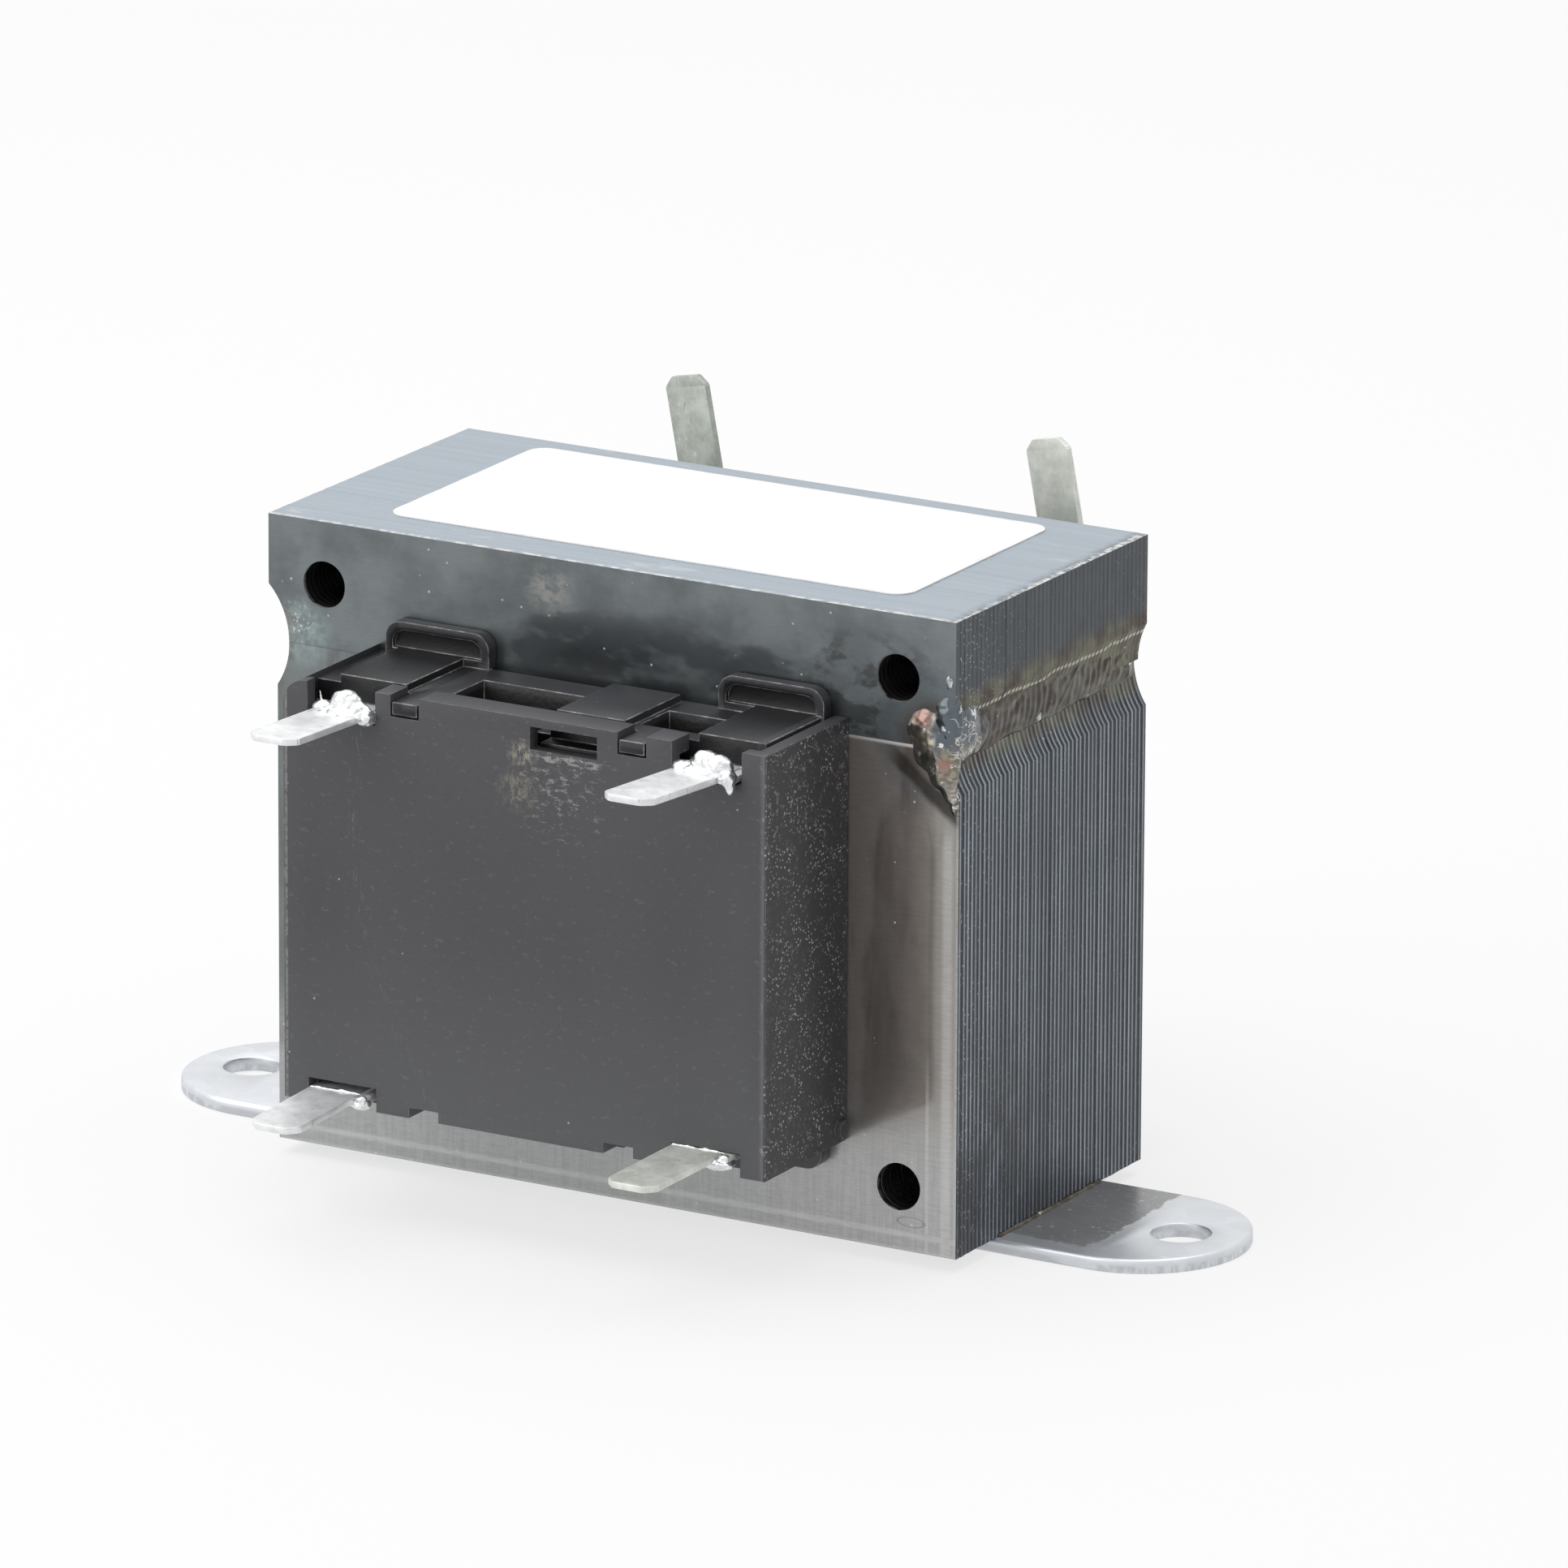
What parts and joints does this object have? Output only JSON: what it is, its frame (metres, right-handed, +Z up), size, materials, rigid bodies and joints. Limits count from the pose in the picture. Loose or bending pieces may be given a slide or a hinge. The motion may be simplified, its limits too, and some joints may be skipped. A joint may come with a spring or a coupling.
{
  "type": "transformer",
  "caption": "Chassis-mount mains transformer with a welded laminated core, black end covers, blade terminals and a flat foot plate.",
  "frame": {"origin": "centre of the underside of the foot plate, on the chassis surface", "axes": "+X along the foot plate and the width of the core, -Y out of the front end cover, +Z up through the core"},
  "size_m": [0.1034, 0.0746, 0.0601],
  "materials": {
    "lamination_steel": "varnished silicon steel, bare edges",
    "bar_steel": "varnished silicon steel",
    "weld_metal": "heat-tinted weld",
    "zinc_plate": "zinc plated",
    "black_moulding": "moulded nylon",
    "enamelled_copper": "enamelled copper wire",
    "insulation_film": "polyester film",
    "label_film": "blank",
    "tinned_brass": "tin plated brass",
    "solder": "soft solder"
  },
  "bodies": {
    "root": {"coil_former": "black_moulding", "coil_wrap": "insulation_film", "e_lamination_stack": "lamination_steel", "foot_plate": "zinc_plate", "foot_weld_left": "weld_metal", "foot_weld_right": "weld_metal", "front_end_cover": "black_moulding", "i_lamination_stack": "bar_steel", "lead_front_lower_left": "enamelled_copper", "lead_front_lower_right": "enamelled_copper", "lead_front_upper_left": "enamelled_copper", "lead_front_upper_right": "enamelled_copper", "lead_rear_left": "enamelled_copper", "lead_rear_right": "enamelled_copper", "primary_winding": "enamelled_copper", "rating_label": "label_film", "rear_end_cover": "black_moulding", "secondary_winding": "enamelled_copper", "solder_front_lower_left": "solder", "solder_front_lower_right": "solder", "solder_front_upper_left": "solder", "solder_front_upper_right": "solder", "solder_rear_left": "solder", "solder_rear_right": "solder", "terminal_front_lower_left": "tinned_brass", "terminal_front_lower_right": "tinned_brass", "terminal_front_upper_left": "tinned_brass", "terminal_front_upper_right": "tinned_brass", "terminal_rear_left": "tinned_brass", "terminal_rear_right": "tinned_brass", "weld_bead_left": "weld_metal", "weld_bead_right": "weld_metal", "winding_barrier": "insulation_film"}
  },
  "joints": []
}
